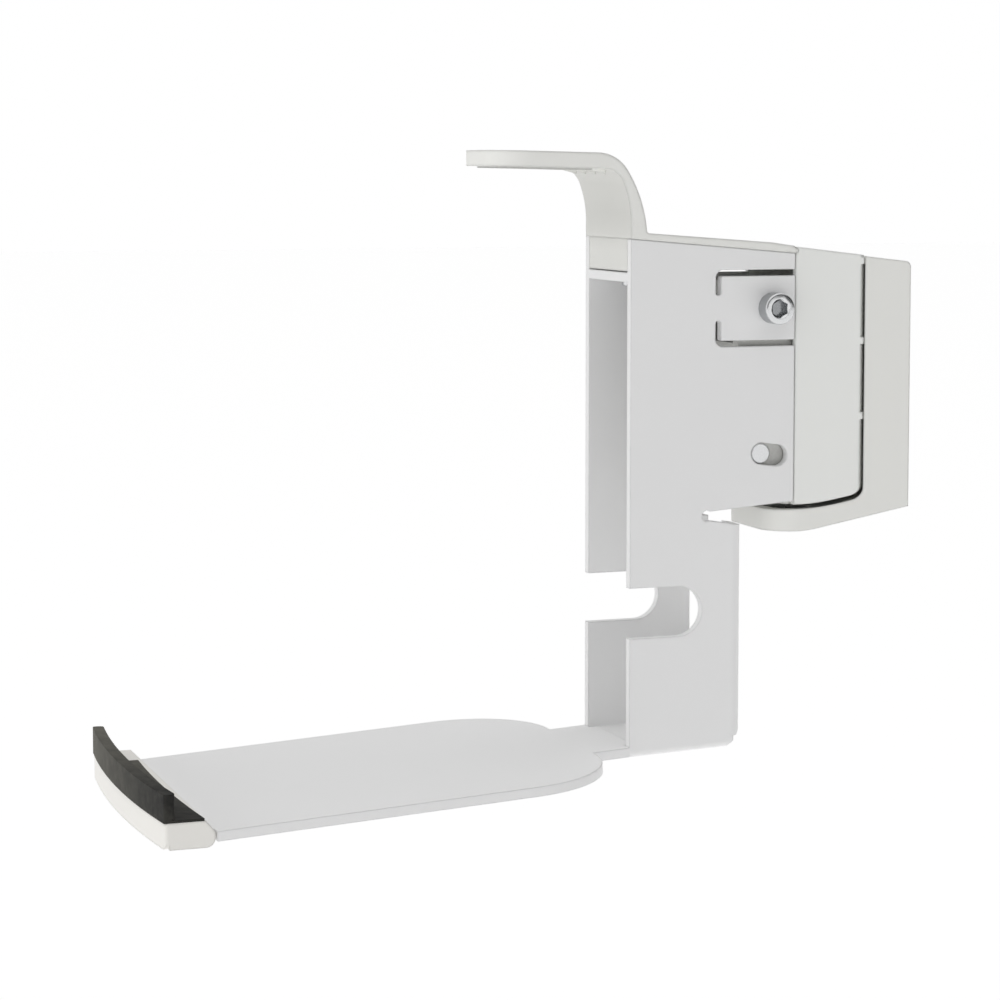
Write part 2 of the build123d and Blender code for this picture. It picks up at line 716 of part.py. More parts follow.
def make_swivel_shell():
    tall = block_top + long
    body = block_form(0, block_bottom, tall)
    body = body & block(-half_width, half_width, block_front, long, 0, long)
    for height in rib_heights:
        low, high = height - rib_width / 2, height + rib_width / 2
        root, crest = block_radius - shell_wall / 2, block_radius + rib_proud
        rib = turned([(root, low), (crest, low), (crest, high), (root, high)])
        body = body + (rib & block(-half_width, half_width, swivel_depth + block_radius / 2, long, 0, long))
    body = body - block_top_cut(0)
    cavity = block_form(shell_wall, block_bottom + shell_wall, tall) - block_top_cut(shell_wall)
    cavity_half = half_width - shell_wall
    cavity = cavity & block(-cavity_half, cavity_half, block_front - seam, long, 0, long)
    body = body - cavity
    # lips that run forwards under the core, either side of the post
    body = body + block(-core_half, core_half, block_front - shell_lip, block_front + shell_lip,
                        block_bottom, core_bottom - fit)
    # room for the core, the post's collar and the swing of the shank
    room = core_half + fit
    body = body - block(-room, room, core_front, core_rear + fit, core_bottom - fit, core_top + fit)
    opening = collar_radius + collar_room
    body = body - column_bar(0, swivel_depth, 0, core_bottom + shell_wall, opening)
    body = body - block(-opening, opening, core_front, swivel_depth, 0, core_bottom)
    # bosses for the two screws from the front
    rear = swivel_depth + block_radius - shell_wall * 1.2
    for side in (-1, 1):
        x = side * shell_screw_x
        body = body + front_bar(x, shell_screw_height, core_rear + fit, rear, shell_screw_radius * 2.2)
        bore_end = core_rear - rear_web + shell_screw_length + fit
        body = body - front_bar(x, shell_screw_height, core_rear, bore_end, shell_screw_radius + fit)
    groove = bar(0, hinge_depth, hinge_height, hinge_bead + hinge_gap, long)
    return body - groove


def make_swivel_core():
    body = block(-core_half, core_half, core_front, core_rear, core_bottom, core_top)
    inner = core_half - cheek
    # open to the top above the upper boss, and to the rear between the bosses
    web_end = core_front + front_web
    body = body - block(-inner, inner, web_end, core_rear + fit, upper_boss_top, core_top + fit)
    body = body - block(-inner, inner, web_end, core_rear - rear_web, lower_boss, upper_boss_bottom)
    body = body - block(-inner, inner, core_front - fit, web_end + fit, upper_boss_top, core_top - front_web)
    for side in (-1, 1):
        x = side * (core_half - clamp_boss / 2)
        body = body + bar(x, clamp_depth, clamp_height, clamp_boss_radius, clamp_boss)
    body = body & block(-core_half, core_half, core_front, core_rear, core_bottom, core_top)
    for side in (-1, 1):
        x = side * core_half
        body = body - bar(x, clamp_depth, clamp_height, clamp_radius + post_gap, 3 * clamp_boss)
        body = body - bar(x, clamp_depth, clamp_height, friction_radius + fit, 2 * (friction_thick - slip))
        x = side * shell_screw_x
        body = body - front_bar(x, shell_screw_height, core_rear - 2 * rear_web, reach, shell_screw_radius + fit)
        body = body - front_bar(x, shell_screw_height, 0, core_front + 2 * front_web, shell_screw_access)
    body = body - bar(0, pin_depth, pin_height, pin_radius + press, long)
    bore = post_radius + post_gap + bush_wall
    return body - column_bar(0, swivel_depth, 0, core_top, bore)


def make_friction_discs():
    discs = []
    for side in (-1, 1):
        x = side * (inside - friction_thick / 2)
        disc = bar(x, clamp_depth, clamp_height, friction_radius, friction_thick - fit)
        discs.append(disc - bar(x, clamp_depth, clamp_height, clamp_radius + fit, 2 * friction_thick))
    return Compound(discs)


def flanged_bush(flange_at, sleeve_to):
    """A flanged bush on the post: the flange's core-side face and the sleeve's far end are given."""
    outside = post_radius + post_gap + bush_wall - press
    low, high = sorted((flange_at, sleeve_to))
    body = column_bar(0, swivel_depth, low, high, outside)
    if sleeve_to > flange_at:
        body = body + column_bar(0, swivel_depth, flange_at - bush_flange, flange_at, bush_flange_radius)
    else:
        body = body + column_bar(0, swivel_depth, flange_at, flange_at + bush_flange, bush_flange_radius)
    return body - column_bar(0, swivel_depth, low - sheet, high + sheet, post_radius + post_gap)


def make_guide_pin():
    length = column_width - 2 * pin_setback
    pin = bar(0, pin_depth, pin_height, pin_radius, length)
    return chamfer(pin.edges(), pin_setback)


def make_clamp_screws():
    """Socket head screws along X, one from each side, heads on the column's walls."""
    body = Pos(0, 0, -clamp_length / 2) * Cylinder(clamp_radius, clamp_length)
    head = Pos(0, 0, clamp_head_height / 2) * Cylinder(clamp_head_radius, clamp_head_height)
    head = chamfer(head.edges().group_by(Axis.Z)[-1], clamp_rim)
    key = Pos(0, 0, clamp_head_height) * Rot(0, 0, 30) * hexagon(clamp_key, clamp_head_height / 2)
    screw = body + head - key
    y, z = at(clamp_depth, clamp_height)
    return Compound([Pos(side * half_width, y, z) * Rot(0, side * 90, 0) * screw for side in (-1, 1)])


def make_shell_screws():
    screw = pan_screw(shell_screw_radius, shell_screw_length, shell_screw_head, key_flats, key_deep)
    y, z = at(core_rear - rear_web, shell_screw_height)
    return Compound([Pos(side * shell_screw_x, y, z) * Rot(-90, 0, 0) * screw for side in (-1, 1)])


# Wall side

def dish():
    """The hollow that the block turns in, outside the block's own form."""
    return block_form(-dish_gap, block_bottom - arm_gap, block_bottom + long)


def make_wall_plate():
    top_front = wall_top + swivel_to_wall * math.tan(math.radians(wall_top_slope))
    outline = rounded_side([
        (arm_tip, arm_underside), (arm_rise_start, arm_underside), (reach, wall_bottom),
        (reach, wall_top), (swivel_depth, top_front), (arm_tip, top_front)], [(1, arm_rise_radius)])
    body = across(outline, half_width)
    back_edge = body.edges().filter_by(Axis.X).sort_by_distance((0,) + at(reach, wall_top))[0]
    body = fillet(back_edge, wall_corner)
    tips = body.edges().filter_by(Axis.Z).sort_by(Axis.Y)[0:2]
    body = fillet(tips, arm_tip_corner)
    body = body - dish()
    # the well in the arm, where the pivot plate lies
    well_half = half_width - arm_wall
    well = block(-well_half, well_half, arm_tip + arm_wall, swivel_depth + well_behind, well_floor, block_bottom)
    body = body - fillet(well.edges().filter_by(Axis.Z), well_corner)
    # pockets in the back, round the two screw bosses
    pocket = block(-half_width + back_wall, half_width - back_wall, swivel_depth, reach + fit,
                   wall_bottom + 2 * back_wall, wall_top - back_wall)
    keep = column_bar(0, swivel_depth, 0, long, dish_radius + back_wall)
    pocket = pocket - keep - block(-back_rib / 2, back_rib / 2, swivel_depth, reach + sheet, 0, long)
    heights = [middle + step * wall_screw_spacing / 2 for step in (-1, 1)]
    for height in heights:
        pocket = pocket - front_bar(0, height, swivel_depth, reach + sheet, wall_screw_recess + back_rib)
    body = body - pocket
    for height in heights:
        body = body - front_bar(0, height, swivel_depth, reach + sheet, wall_screw_hole)
        body = body - front_bar(0, height, swivel_depth, reach - wall_screw_web, wall_screw_recess)
    for side in (-1, 1):
        hole = Pos(0, 0, -plate_screw_deep / 2) * Cylinder(plate_screw_radius + post_gap, plate_screw_deep)
        body = body - plate_screw_place(side) * hole
    return body


def plate_screw_place(side):
    y, z = at(plate_screw_depth, well_floor + post_plate)
    return Pos(side * plate_screw_x, y, z)


def make_pivot_plate():
    half = half_width - arm_wall - fit
    front = arm_tip + arm_wall + fit
    rear = swivel_depth + well_behind - fit
    body = block(-half, half, front, rear, well_floor, well_floor + post_plate)
    body = fillet(body.edges().filter_by(Axis.Z), well_corner - fit)
    body = body - column_bar(0, swivel_depth, 0, long, rivet_radius + press)
    for side in (-1, 1):
        body = body - plate_screw_place(side) * cone_hole(plate_screw_radius, plate_screw_length, plate_screw_head)
    return body


def make_pivot_plate_screws():
    screw = cone_screw(plate_screw_radius, plate_screw_length, plate_screw_head, key_flats, key_deep * 0.8)
    return Compound([plate_screw_place(side) * screw for side in (-1, 1)])


def make_pivot_post():
    plate_top_height = well_floor + post_plate
    thread_top = upper_boss_top + bush_flange + 3 * disc_thick + nut_height + thread_beyond
    body = column_bar(0, swivel_depth, well_floor, plate_top_height, rivet_radius)
    body = body + column_bar(0, swivel_depth, plate_top_height, collar_bottom, shank_radius)
    body = body + column_bar(0, swivel_depth, collar_bottom, collar_top, collar_radius)
    post = column_bar(0, swivel_depth, collar_top, thread_top, post_radius)
    post = chamfer(post.edges().group_by(Axis.Z)[-1], post_chamfer)
    return body + post


def make_disc_springs():
    """Two dished washers, set rim to rim."""
    low = upper_boss_top + bush_flange
    rise = disc_thick * 0.5
    bore = post_radius + fit
    crest = low + rise + disc_thick
    cup = [(bore, low), (disc_radius, low + rise), (disc_radius, crest), (bore, low + disc_thick)]
    top = 2 * crest
    other = [(radius, top - height) for radius, height in cup]
    return Compound([turned(cup), turned(other)])


def make_lock_nut():
    low = upper_boss_top + bush_flange + 3 * disc_thick
    y, z = at(swivel_depth, low)
    hexagon_height = nut_height - nut_collar
    body = Pos(0, y, z + hexagon_height) * hexagon(nut_flats, hexagon_height)
    body = body + column_bar(0, swivel_depth, low + hexagon_height, low + nut_height, nut_flats / 2 - 3 * fit)
    return body - column_bar(0, swivel_depth, low - fit, low + nut_height + fit, post_radius + press)


parts = {
    "column": make_column(),
    "front_lip": make_front_lip(),
    "lip_rubber": make_lip_rubber(),
    "lip_screws": make_lip_screws(),
    "top_hook": make_top_hook(),
    "hook_screws": make_hook_screws(),
    "swivel_shell": make_swivel_shell(),
    "swivel_core": make_swivel_core(),
    "friction_discs": make_friction_discs(),
    "lower_bush": flanged_bush(core_bottom, core_bottom + bush_length),
    "upper_bush": flanged_bush(upper_boss_top, upper_boss_top - bush_length),
    "guide_pin": make_guide_pin(),
    "clamp_screws": make_clamp_screws(),
    "shell_screws": make_shell_screws(),
    "wall_plate": make_wall_plate(),
    "pivot_plate": make_pivot_plate(),
    "pivot_plate_screws": make_pivot_plate_screws(),
    "pivot_post": make_pivot_post(),
    "disc_springs": make_disc_springs(),
    "lock_nut": make_lock_nut(),
}

os.makedirs("parts", exist_ok=True)
for name, shape in parts.items():
    export_step(shape, f"parts/{name}.step")
    print(name, len(shape.solids()), round(shape.volume, 1))
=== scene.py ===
# %% [markdown]
# # A wall bracket for a loudspeaker
# A moulded block swivels on the wall plate, and a folded steel column is clamped to the block and tilts
# on it. The column's foot carries the speaker, and a hook on its top reaches over it. The solids come
# from the CAD model and stay as they are. This lesson loads them, gives each one the surface that its
# maker would give it, and adds the small things that only the eye needs.

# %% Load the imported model
import bpy
import math
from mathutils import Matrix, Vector


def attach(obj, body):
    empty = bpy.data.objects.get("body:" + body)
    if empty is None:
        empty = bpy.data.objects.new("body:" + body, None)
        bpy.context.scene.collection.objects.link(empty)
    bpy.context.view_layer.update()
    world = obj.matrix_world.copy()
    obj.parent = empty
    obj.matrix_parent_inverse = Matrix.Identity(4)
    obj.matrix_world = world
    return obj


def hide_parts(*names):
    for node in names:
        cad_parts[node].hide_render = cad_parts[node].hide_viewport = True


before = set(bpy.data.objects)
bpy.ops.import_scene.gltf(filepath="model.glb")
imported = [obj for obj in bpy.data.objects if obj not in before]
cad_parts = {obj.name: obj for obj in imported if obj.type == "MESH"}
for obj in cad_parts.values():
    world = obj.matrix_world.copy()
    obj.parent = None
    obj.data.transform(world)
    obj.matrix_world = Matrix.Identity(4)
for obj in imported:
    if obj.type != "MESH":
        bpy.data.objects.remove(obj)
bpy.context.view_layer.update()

scene = bpy.context.scene
print("nodes:", len(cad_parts))

# %% [markdown]
# ## Camera
# The photograph was taken from a little above, from the front right, with a long lens and the camera
# held almost level. A long lens keeps the upright edges of the bracket nearly parallel. A camera could
# be aimed with a Track To constraint. Here it is turned by a heading and a dip, because those are the
# two angles that the bracket's parallel edges give. The lens is shifted a little downwards, so that the
# bracket fills the frame as it does in the photograph.

# %% Camera
sensor_width = 36.0
focal_length = 2.7922 * sensor_width
heading, dip = math.radians(160.625), math.radians(-4.736)

camera_data = bpy.data.cameras.new("camera")
camera = bpy.data.objects.new("camera", camera_data)
scene.collection.objects.link(camera)
scene.camera = camera
camera_data.sensor_fit = "AUTO"
camera_data.sensor_width = sensor_width
camera_data.lens = focal_length
camera_data.shift_y = -0.10
camera_data.clip_start = 0.01
camera_data.clip_end = 60.0
camera.location = (0.82711, -0.42480, 0.06967)
look = Vector((math.cos(dip) * math.cos(heading), math.cos(dip) * math.sin(heading), math.sin(dip)))
camera.rotation_mode = "QUATERNION"
camera.rotation_quaternion = look.to_track_quat("-Z", "Y")
print("lens:", round(camera_data.lens, 1), "mm")

# %% [markdown]
# ## Helpers for finishes
# A finish is a small tree of nodes. It could be wired by hand in the shader editor. In a script, one
# function that adds a node with its settings and its links keeps each tree readable. Colours are
# written as a painter's sRGB hex values, and a shader wants them linear.

# %% Colours and nodes
MIX_FIRST, MIX_SECOND, MIX_COLOUR = 6, 7, 2  # a Mix node's two colour inputs and its colour output


def linear(hex_colour):
    """An sRGB hex colour as the linear values that a shader needs."""
    values = []
    for start in (0, 2, 4):
        share = int(hex_colour[start:start + 2], 16) / 255
        values.append(share / 12.92 if share <= 0.04045 else ((share + 0.055) / 1.055) ** 2.4)
    return (*values, 1.0)


def add_node(owner, kind, settings=None, links=None):
    """Adds a node to a material or to the world, sets it by name or input number, and links it."""
    node = owner.node_tree.nodes.new(kind)
    for name, value in (settings or {}).items():
        if isinstance(name, int) or name in node.inputs:
            node.inputs[name].default_value = value
        else:
            setattr(node, name, value)
    for name, output in (links or {}).items():
        owner.node_tree.links.new(output, node.inputs[name])
    return node


def new_material(name):
    """An empty node material."""
    material = bpy.data.materials.new(name)
    material.use_nodes = True
    material.node_tree.nodes.clear()
    return material


def finish_material(material, shader):
    """Links the shader to a material output."""
    add_node(material, "ShaderNodeOutputMaterial", links={"Surface": shader.outputs[0]})
    return material


print("middle grey is", [round(value, 3) for value in linear("808080")[:3]], "in linear values")

# %% [markdown]
# ## Floor
# In the photograph the bracket hangs free before plain white. Here a plain pale table lies well under
# it and lights its undersides. It could be lit by the tent alone, but it would then end in a grey
# horizon, so the paint also glows a little, as a table that is lit from below does.

# %% Floor
def alone():
    """Leaves nothing selected, so that the next operator touches only its own piece."""
    bpy.ops.object.select_all(action="DESELECT")


def settle():
    """Puts the active piece's place, turn and size into its mesh."""
    bpy.ops.object.transform_apply(location=True, rotation=True, scale=True)


floor_size = 40.0
floor_height = -0.55
floor_paint = new_material("white table")
floor_shader = add_node(floor_paint, "ShaderNodeBsdfPrincipled", {
    "Base Color": linear("F4F4F4"), "Roughness": 0.9,
    "Emission Color": linear("FFFFFF"), "Emission Strength": 0.275})
finish_material(floor_paint, floor_shader)

alone()
bpy.ops.mesh.primitive_plane_add(size=floor_size, location=(0, 0, floor_height))
settle()
floor = bpy.context.object
floor.name = "floor"
floor.data.materials.append(floor_paint)
print("floor at", floor_height, "m")

# %% [markdown]
# ## Light
# The bracket is lit as in a white tent. The tent is white where the lens looks at it. What it throws on
# the bracket comes mostly from above and from the front. A dark curtain on the near side, towards the
# wall, takes some light away there, and a small reflector before it gives bright metal something to
# mirror. Area lamps could do this, but they would show in polished metal as hard squares. Soft cones of
# directions in the world don't. How strong each one is was matched to the photograph's tones.

# %% The tent as the lens sees it
world = bpy.data.worlds.new("tent")
scene.world = world
world.use_nodes = True
seen = world.node_tree.nodes["Background"]
seen.inputs["Color"].default_value = linear("FFFFFF")
seen.inputs["Strength"].default_value = 1.0
print("the lens sees a white tent")

# %% The light that the tent throws
tent_cloth = (0.8, 0.8, 0.8, 1.0)
tent_level = 0.345
tent_parts = (  # direction, half angle and soft rim in degrees, amount
    ((0, 0, 1), 50, 25, 0.99),           # the bright top
    ((0, -1, 0), 35, 20, 0.97),          # a bright front
    ((0.8, 0.6, 0.1), 38, 14, -0.33),    # the dark curtain
    ((0.94, 0.33, -0.08), 10, 5, 1.40),  # the small reflector before it
)


def toward(direction, half_angle, soft_rim):
    """One inside a cone of directions, falling to nought over its soft rim."""
    way = add_node(world, "ShaderNodeTexCoord").outputs["Generated"]
    dot = add_node(world, "ShaderNodeVectorMath",
                   {"operation": "DOT_PRODUCT", 1: Vector(direction).normalized()}, {0: way})
    cone = add_node(world, "ShaderNodeMapRange", {
        "interpolation_type": "SMOOTHSTEP",
        "From Min": math.cos(math.radians(half_angle + soft_rim)),
        "From Max": math.cos(math.radians(half_angle - soft_rim))}, {"Value": dot.outputs["Value"]})
    return cone.outputs["Result"]


level = add_node(world, "ShaderNodeValue").outputs[0]
level.default_value = tent_level
for direction, half_angle, soft_rim, amount in tent_parts:
    level = add_node(world, "ShaderNodeMath", {"operation": "MULTIPLY_ADD", 1: amount},
                     {0: toward(direction, half_angle, soft_rim), 2: level}).outputs[0]
thrown = add_node(world, "ShaderNodeBackground", {"Color": tent_cloth}, {"Strength": level})
path = add_node(world, "ShaderNodeLightPath")
tent = add_node(world, "ShaderNodeMixShader", {}, {
    0: path.outputs["Is Camera Ray"], 1: thrown.outputs[0], 2: seen.outputs[0]})
world.node_tree.links.new(tent.outputs[0], world.node_tree.nodes["World Output"].inputs["Surface"])
print("tent of", len(tent_parts), "parts, no lamps")

# %% Colours shown as they are, with no film look
scene.view_settings.view_transform = "Standard"
scene.view_settings.look = "None"
scene.view_settings.exposure = 0.0
scene.view_settings.gamma = 1.0
print("view:", scene.view_settings.view_transform)

# %% [markdown]
# ## Powder coated steel
# The column and its plate are folded from 3 mm sheet and powder coated in a satin white. Powder melts
# into a film with a slight orange peel, about a millimetre across, and flows thin over cut edges, so
# they are softly rounded. The edges could be bevelled in the mesh. A Bevel node rounds only the light
# on them, and that is enough for a film of paint and leaves the solid as it is.

# %% Powder coated steel
def millimetres(size):
    """The scale of a noise whose grain is this many millimetres across."""
    return 1000.0 / size


def powder_coated_steel():
    """Satin paint: a dielectric with a soft sheen, a faint peel and hardly any change of tone."""
    material = new_material("powder coated steel, satin white")
    place = add_node(material, "ShaderNodeTexCoord").outputs["Object"]
    peel = add_node(material, "ShaderNodeTexNoise", {"Scale": millimetres(1.2), "Detail": 2.0},
                    {"Vector": place})
    cloud = add_node(material, "ShaderNodeTexNoise", {"Scale": millimetres(45.0), "Detail": 3.0},
                     {"Vector": place})
    tint = add_node(material, "ShaderNodeMix", {
        "data_type": "RGBA", MIX_FIRST: linear("F1F1F1"), MIX_SECOND: linear("F4F4F4")},
        {"Factor": cloud.outputs["Fac"]})
    gloss = add_node(material, "ShaderNodeMapRange", {"To Min": 0.42, "To Max": 0.52},
                     {"Value": peel.outputs["Fac"]})
    edge = add_node(material, "ShaderNodeBevel", {"samples": 6, "Radius": 0.0008})
    bump = add_node(material, "ShaderNodeBump", {"Strength": 0.12, "Distance": 0.00003},
                    {"Height": peel.outputs["Fac"], "Normal": edge.outputs["Normal"]})
    shader = add_node(material, "ShaderNodeBsdfPrincipled", {"IOR": 1.5}, {
        "Base Color": tint.outputs[MIX_COLOUR], "Roughness": gloss.outputs["Result"],
        "Normal": bump.outputs["Normal"]})
    return finish_material(material, shader)


coated = powder_coated_steel()
print("made", coated.name)

# %% [markdown]
# ## Moulded white plastic
# Hook, block, wall plate and lip are injection moulded. They are taken to be ASA, which stays white in
# daylight, and are a little warmer in tone than the steel. A spark eroded mould leaves a grain of about
# 0.1 mm. It is drawn at 0.35 mm, so that it shows. One function makes all four, because only their tone
# and their edge radius differ. The hook's face towards the speaker is darker in the photograph than this
# light makes it. That is painted shade: a darker tone is mixed into its colour by which way the surface
# faces. A vertex colour could do that too, but the CAD mesh is left alone.

# %% Painted shade on the hook's riser, towards the speaker
# Painted shade: the hook's riser is made darker where its surface faces this way, forwards and down.
painted_shade_direction = (0, -0.9, -0.43)                          # from the hook, forwards and down
painted_shade_facing = {"From Min": 0.3, "From Max": 0.9}            # how straight the surface looks there
painted_shade_arm_to_riser = {"From Min": -0.125, "From Max": -0.112}  # nothing on the arm, all on the riser
painted_shade_riser_foot = {"From Min": 0.044, "From Max": 0.056, "To Min": 0.5}  # half of it at the riser's foot


def painted_shade_towards_speaker(material, place, colour, tone):
    """The colour, with painted shade: the darker tone mixed in where the hook's riser faces the speaker."""
    normal = add_node(material, "ShaderNodeTexCoord").outputs["Normal"]
    facing = add_node(material, "ShaderNodeVectorMath",
                      {"operation": "DOT_PRODUCT", 1: painted_shade_direction}, {0: normal})
    spot = add_node(material, "ShaderNodeSeparateXYZ", {}, {"Vector": place})
    share = add_node(material, "ShaderNodeMapRange", painted_shade_facing,
                     {"Value": facing.outputs["Value"]}).outputs["Result"]
    for limits, height in ((painted_shade_arm_to_riser, spot.outputs["Y"]), (painted_shade_riser_foot, spot.outputs["Z"])):
        kept = add_node(material, "ShaderNodeMapRange", limits, {"Value": height})
        share = add_node(material, "ShaderNodeMath", {"operation": "MULTIPLY"},
                         {0: share, 1: kept.outputs["Result"]}).outputs["Value"]
    mixed = add_node(material, "ShaderNodeMix", {"data_type": "RGBA", MIX_SECOND: linear(tone)},
                     {"Factor": share, MIX_FIRST: colour})
    return mixed.outputs[MIX_COLOUR]


print("the hook's tone looks along", painted_shade_direction)

# %% Moulded white plastic
def moulded_plastic(name, darker, lighter, edge_radius=0.0012, painted_shade_tone=None):
    """Grained plastic: a dull sheen, a fine grain and a very faint cloud of tone."""
    material = new_material(name)
    place = add_node(material, "ShaderNodeTexCoord").outputs["Object"]
    grain = add_node(material, "ShaderNodeTexNoise", {"Scale": millimetres(0.35), "Detail": 2.0},
                     {"Vector": place})
    cloud = add_node(material, "ShaderNodeTexNoise", {"Scale": millimetres(60.0), "Detail": 2.0},
                     {"Vector": place})
    tint = add_node(material, "ShaderNodeMix", {
        "data_type": "RGBA", MIX_FIRST: linear(darker), MIX_SECOND: linear(lighter)},
        {"Factor": cloud.outputs["Fac"]})
    colour = tint.outputs[MIX_COLOUR]
    # painted shade: the hook's riser gets a darker tone where it faces the speaker
    if painted_shade_tone:
        colour = painted_shade_towards_speaker(material, place, colour, painted_shade_tone)
    gloss = add_node(material, "ShaderNodeMapRange", {"To Min": 0.5, "To Max": 0.6},
                     {"Value": grain.outputs["Fac"]})
    edge = add_node(material, "ShaderNodeBevel", {"samples": 6, "Radius": edge_radius})
    bump = add_node(material, "ShaderNodeBump", {"Strength": 0.15, "Distance": 0.00002},
                    {"Height": grain.outputs["Fac"], "Normal": edge.outputs["Normal"]})
    shader = add_node(material, "ShaderNodeBsdfPrincipled", {"IOR": 1.52}, {
        "Base Color": colour, "Roughness": gloss.outputs["Result"],
        "Normal": bump.outputs["Normal"]})
    return finish_material(material, shader)


shell_plastic = moulded_plastic("moulded ASA, fine grain", "F5F6F3", "F7F8F5")
plastic = moulded_plastic("moulded ASA, spark eroded grain", "F1F1ED", "F3F3EF")
# the hook's finish carries painted shade on the riser, towards the speaker
hook_plastic_with_painted_shade = moulded_plastic("moulded ASA, painted shade towards the speaker", "F1F1ED", "F3F3EF",
                               edge_radius=0.0016, painted_shade_tone="D8D8D4")
lip_plastic = moulded_plastic("moulded ASA, polished mould", "F4F2ED", "F6F4EF")
for made in (shell_plastic, plastic, hook_plastic_with_painted_shade, lip_plastic):
    print("made", made.name)

# %% [markdown]
# ## Black rubber
# The strip on the lip is soft black rubber. Moulded rubber keeps a dull skin with paler, mottled
# patches a few millimetres across, where its surface is a little rougher. In the photograph the strip
# is also paler towards its far end, and that is painted light: a pale tone laid on more and more towards
# that end. A painted map could hold both. A noise and a slow change along the strip need no picture and
# stay sharp from close by.

# %% Black rubber
near_end, far_end = 0.045, -0.045         # the strip's ends in X
# painted light: how much pale tone lies on each end of the strip
near_painted_light, far_painted_light = 0.03, 0.68  # how much of the pale tone lies on each end


def black_rubber():
    """Dull rubber: hardly any gloss, mottled patches, and painted light that makes it paler towards the far
    end.
    """
    material = new_material("moulded rubber, black")
    place = add_node(material, "ShaderNodeTexCoord").outputs["Object"]
    patches = add_node(material, "ShaderNodeTexNoise", {
        "Scale": millimetres(5.0), "Detail": 5.0, "Roughness": 0.65}, {"Vector": place})
    spread = add_node(material, "ShaderNodeMapRange", {"From Min": 0.35, "From Max": 0.7},
                      {"Value": patches.outputs["Fac"]})
    along = add_node(material, "ShaderNodeSeparateXYZ", {}, {"Vector": place})
    # painted light: the pale tone grows along the strip towards its far end
    paler = add_node(material, "ShaderNodeMapRange", {
        "From Min": near_end, "From Max": far_end, "To Min": near_painted_light, "To Max": far_painted_light},
        {"Value": along.outputs["X"]})
    share = add_node(material, "ShaderNodeMath", {
        "operation": "MULTIPLY_ADD", 1: 0.25, "use_clamp": True},
        {0: spread.outputs["Result"], 2: paler.outputs["Result"]})
    tint = add_node(material, "ShaderNodeMix", {
        "data_type": "RGBA", MIX_FIRST: linear("191919"), MIX_SECOND: linear("6A6860")},
        {"Factor": share.outputs["Value"]})
    edge = add_node(material, "ShaderNodeBevel", {"samples": 4, "Radius": 0.0005})
    bump = add_node(material, "ShaderNodeBump", {"Strength": 0.3, "Distance": 0.0001},
                    {"Height": patches.outputs["Fac"], "Normal": edge.outputs["Normal"]})
    shader = add_node(material, "ShaderNodeBsdfPrincipled", {
        "IOR": 1.52, "Specular IOR Level": 0.25, "Roughness": 0.8},
        {"Base Color": tint.outputs[MIX_COLOUR], "Normal": bump.outputs["Normal"]})
    return finish_material(material, shader)


rubber = black_rubber()
print("made", rubber.name)

# %% [markdown]
# ## Metals
# Screws, post and pin are zinc plated steel: bright, with a fine crystalline speckle. The photograph
# shows the clamp screw duller in its socket and on its rolled side. That is painted shade: darker copies
# of the zinc in the socket and on the rolled side, which is also rougher. It doesn't show the block's
# inside:
# its core is taken to be die-cast alloy with a dull skin, its bushes sintered bronze, and the pivot
# plate blackened. One flat metal could serve for all. A speckle in gloss and bump is what tells plating
# or casting from chrome, so one function makes each with its own grain and dullness.

# %% Metals
def plain_metal(name, colour, roughness, grain_size, depth, edge_radius=0.0003):
    """A metal whose gloss and surface vary with a grain of this size in millimetres."""
    material = new_material(name)
    place = add_node(material, "ShaderNodeTexCoord").outputs["Object"]
    grain = add_node(material, "ShaderNodeTexNoise", {"Scale": millimetres(grain_size), "Detail": 3.0},
                     {"Vector": place})
    gloss = add_node(material, "ShaderNodeMapRange", {
        "To Min": roughness * 0.75, "To Max": roughness * 1.3}, {"Value": grain.outputs["Fac"]})
    edge = add_node(material, "ShaderNodeBevel", {"samples": 4, "Radius": edge_radius})
    bump = add_node(material, "ShaderNodeBump", {"Strength": 0.4, "Distance": depth},
                    {"Height": grain.outputs["Fac"], "Normal": edge.outputs["Normal"]})
    shader = add_node(material, "ShaderNodeBsdfPrincipled", {"Base Color": linear(colour), "Metallic": 1.0},
                      {"Roughness": gloss.outputs["Result"], "Normal": bump.outputs["Normal"]})
    return finish_material(material, shader)


zinc_plate = plain_metal("zinc plated steel", "DADBDC", 0.17, 0.5, 0.00002)
# painted shade: darker copies of the zinc for the socket and for the rolled side, which is also rougher
zinc_socket_painted_shade = plain_metal("zinc plated steel, painted shade in the socket", "A4A6A8", 0.25, 0.5, 0.00002)
zinc_rolled_painted_shade = plain_metal("zinc plated steel, rolled side, painted shade", "B2B4B6", 0.3, 0.4, 0.00003)
cast_alloy = plain_metal("die-cast zinc alloy", "CFCFCC", 0.55, 0.8, 0.00005)
bronze = plain_metal("sintered bronze", "A98C5B", 0.45, 0.3, 0.00002)
blackened = plain_metal("blackened steel", "3A3A3B", 0.45, 0.5, 0.00002)
print("made six metals")

# %% [markdown]
# ## Friction lining
# The two thin discs that the clamp screws squeeze are taken to be pressed from fibres and resin, as a
# brake lining is. Their specks could be scattered as flakes. A fine noise is enough for a part that
# hardly shows.

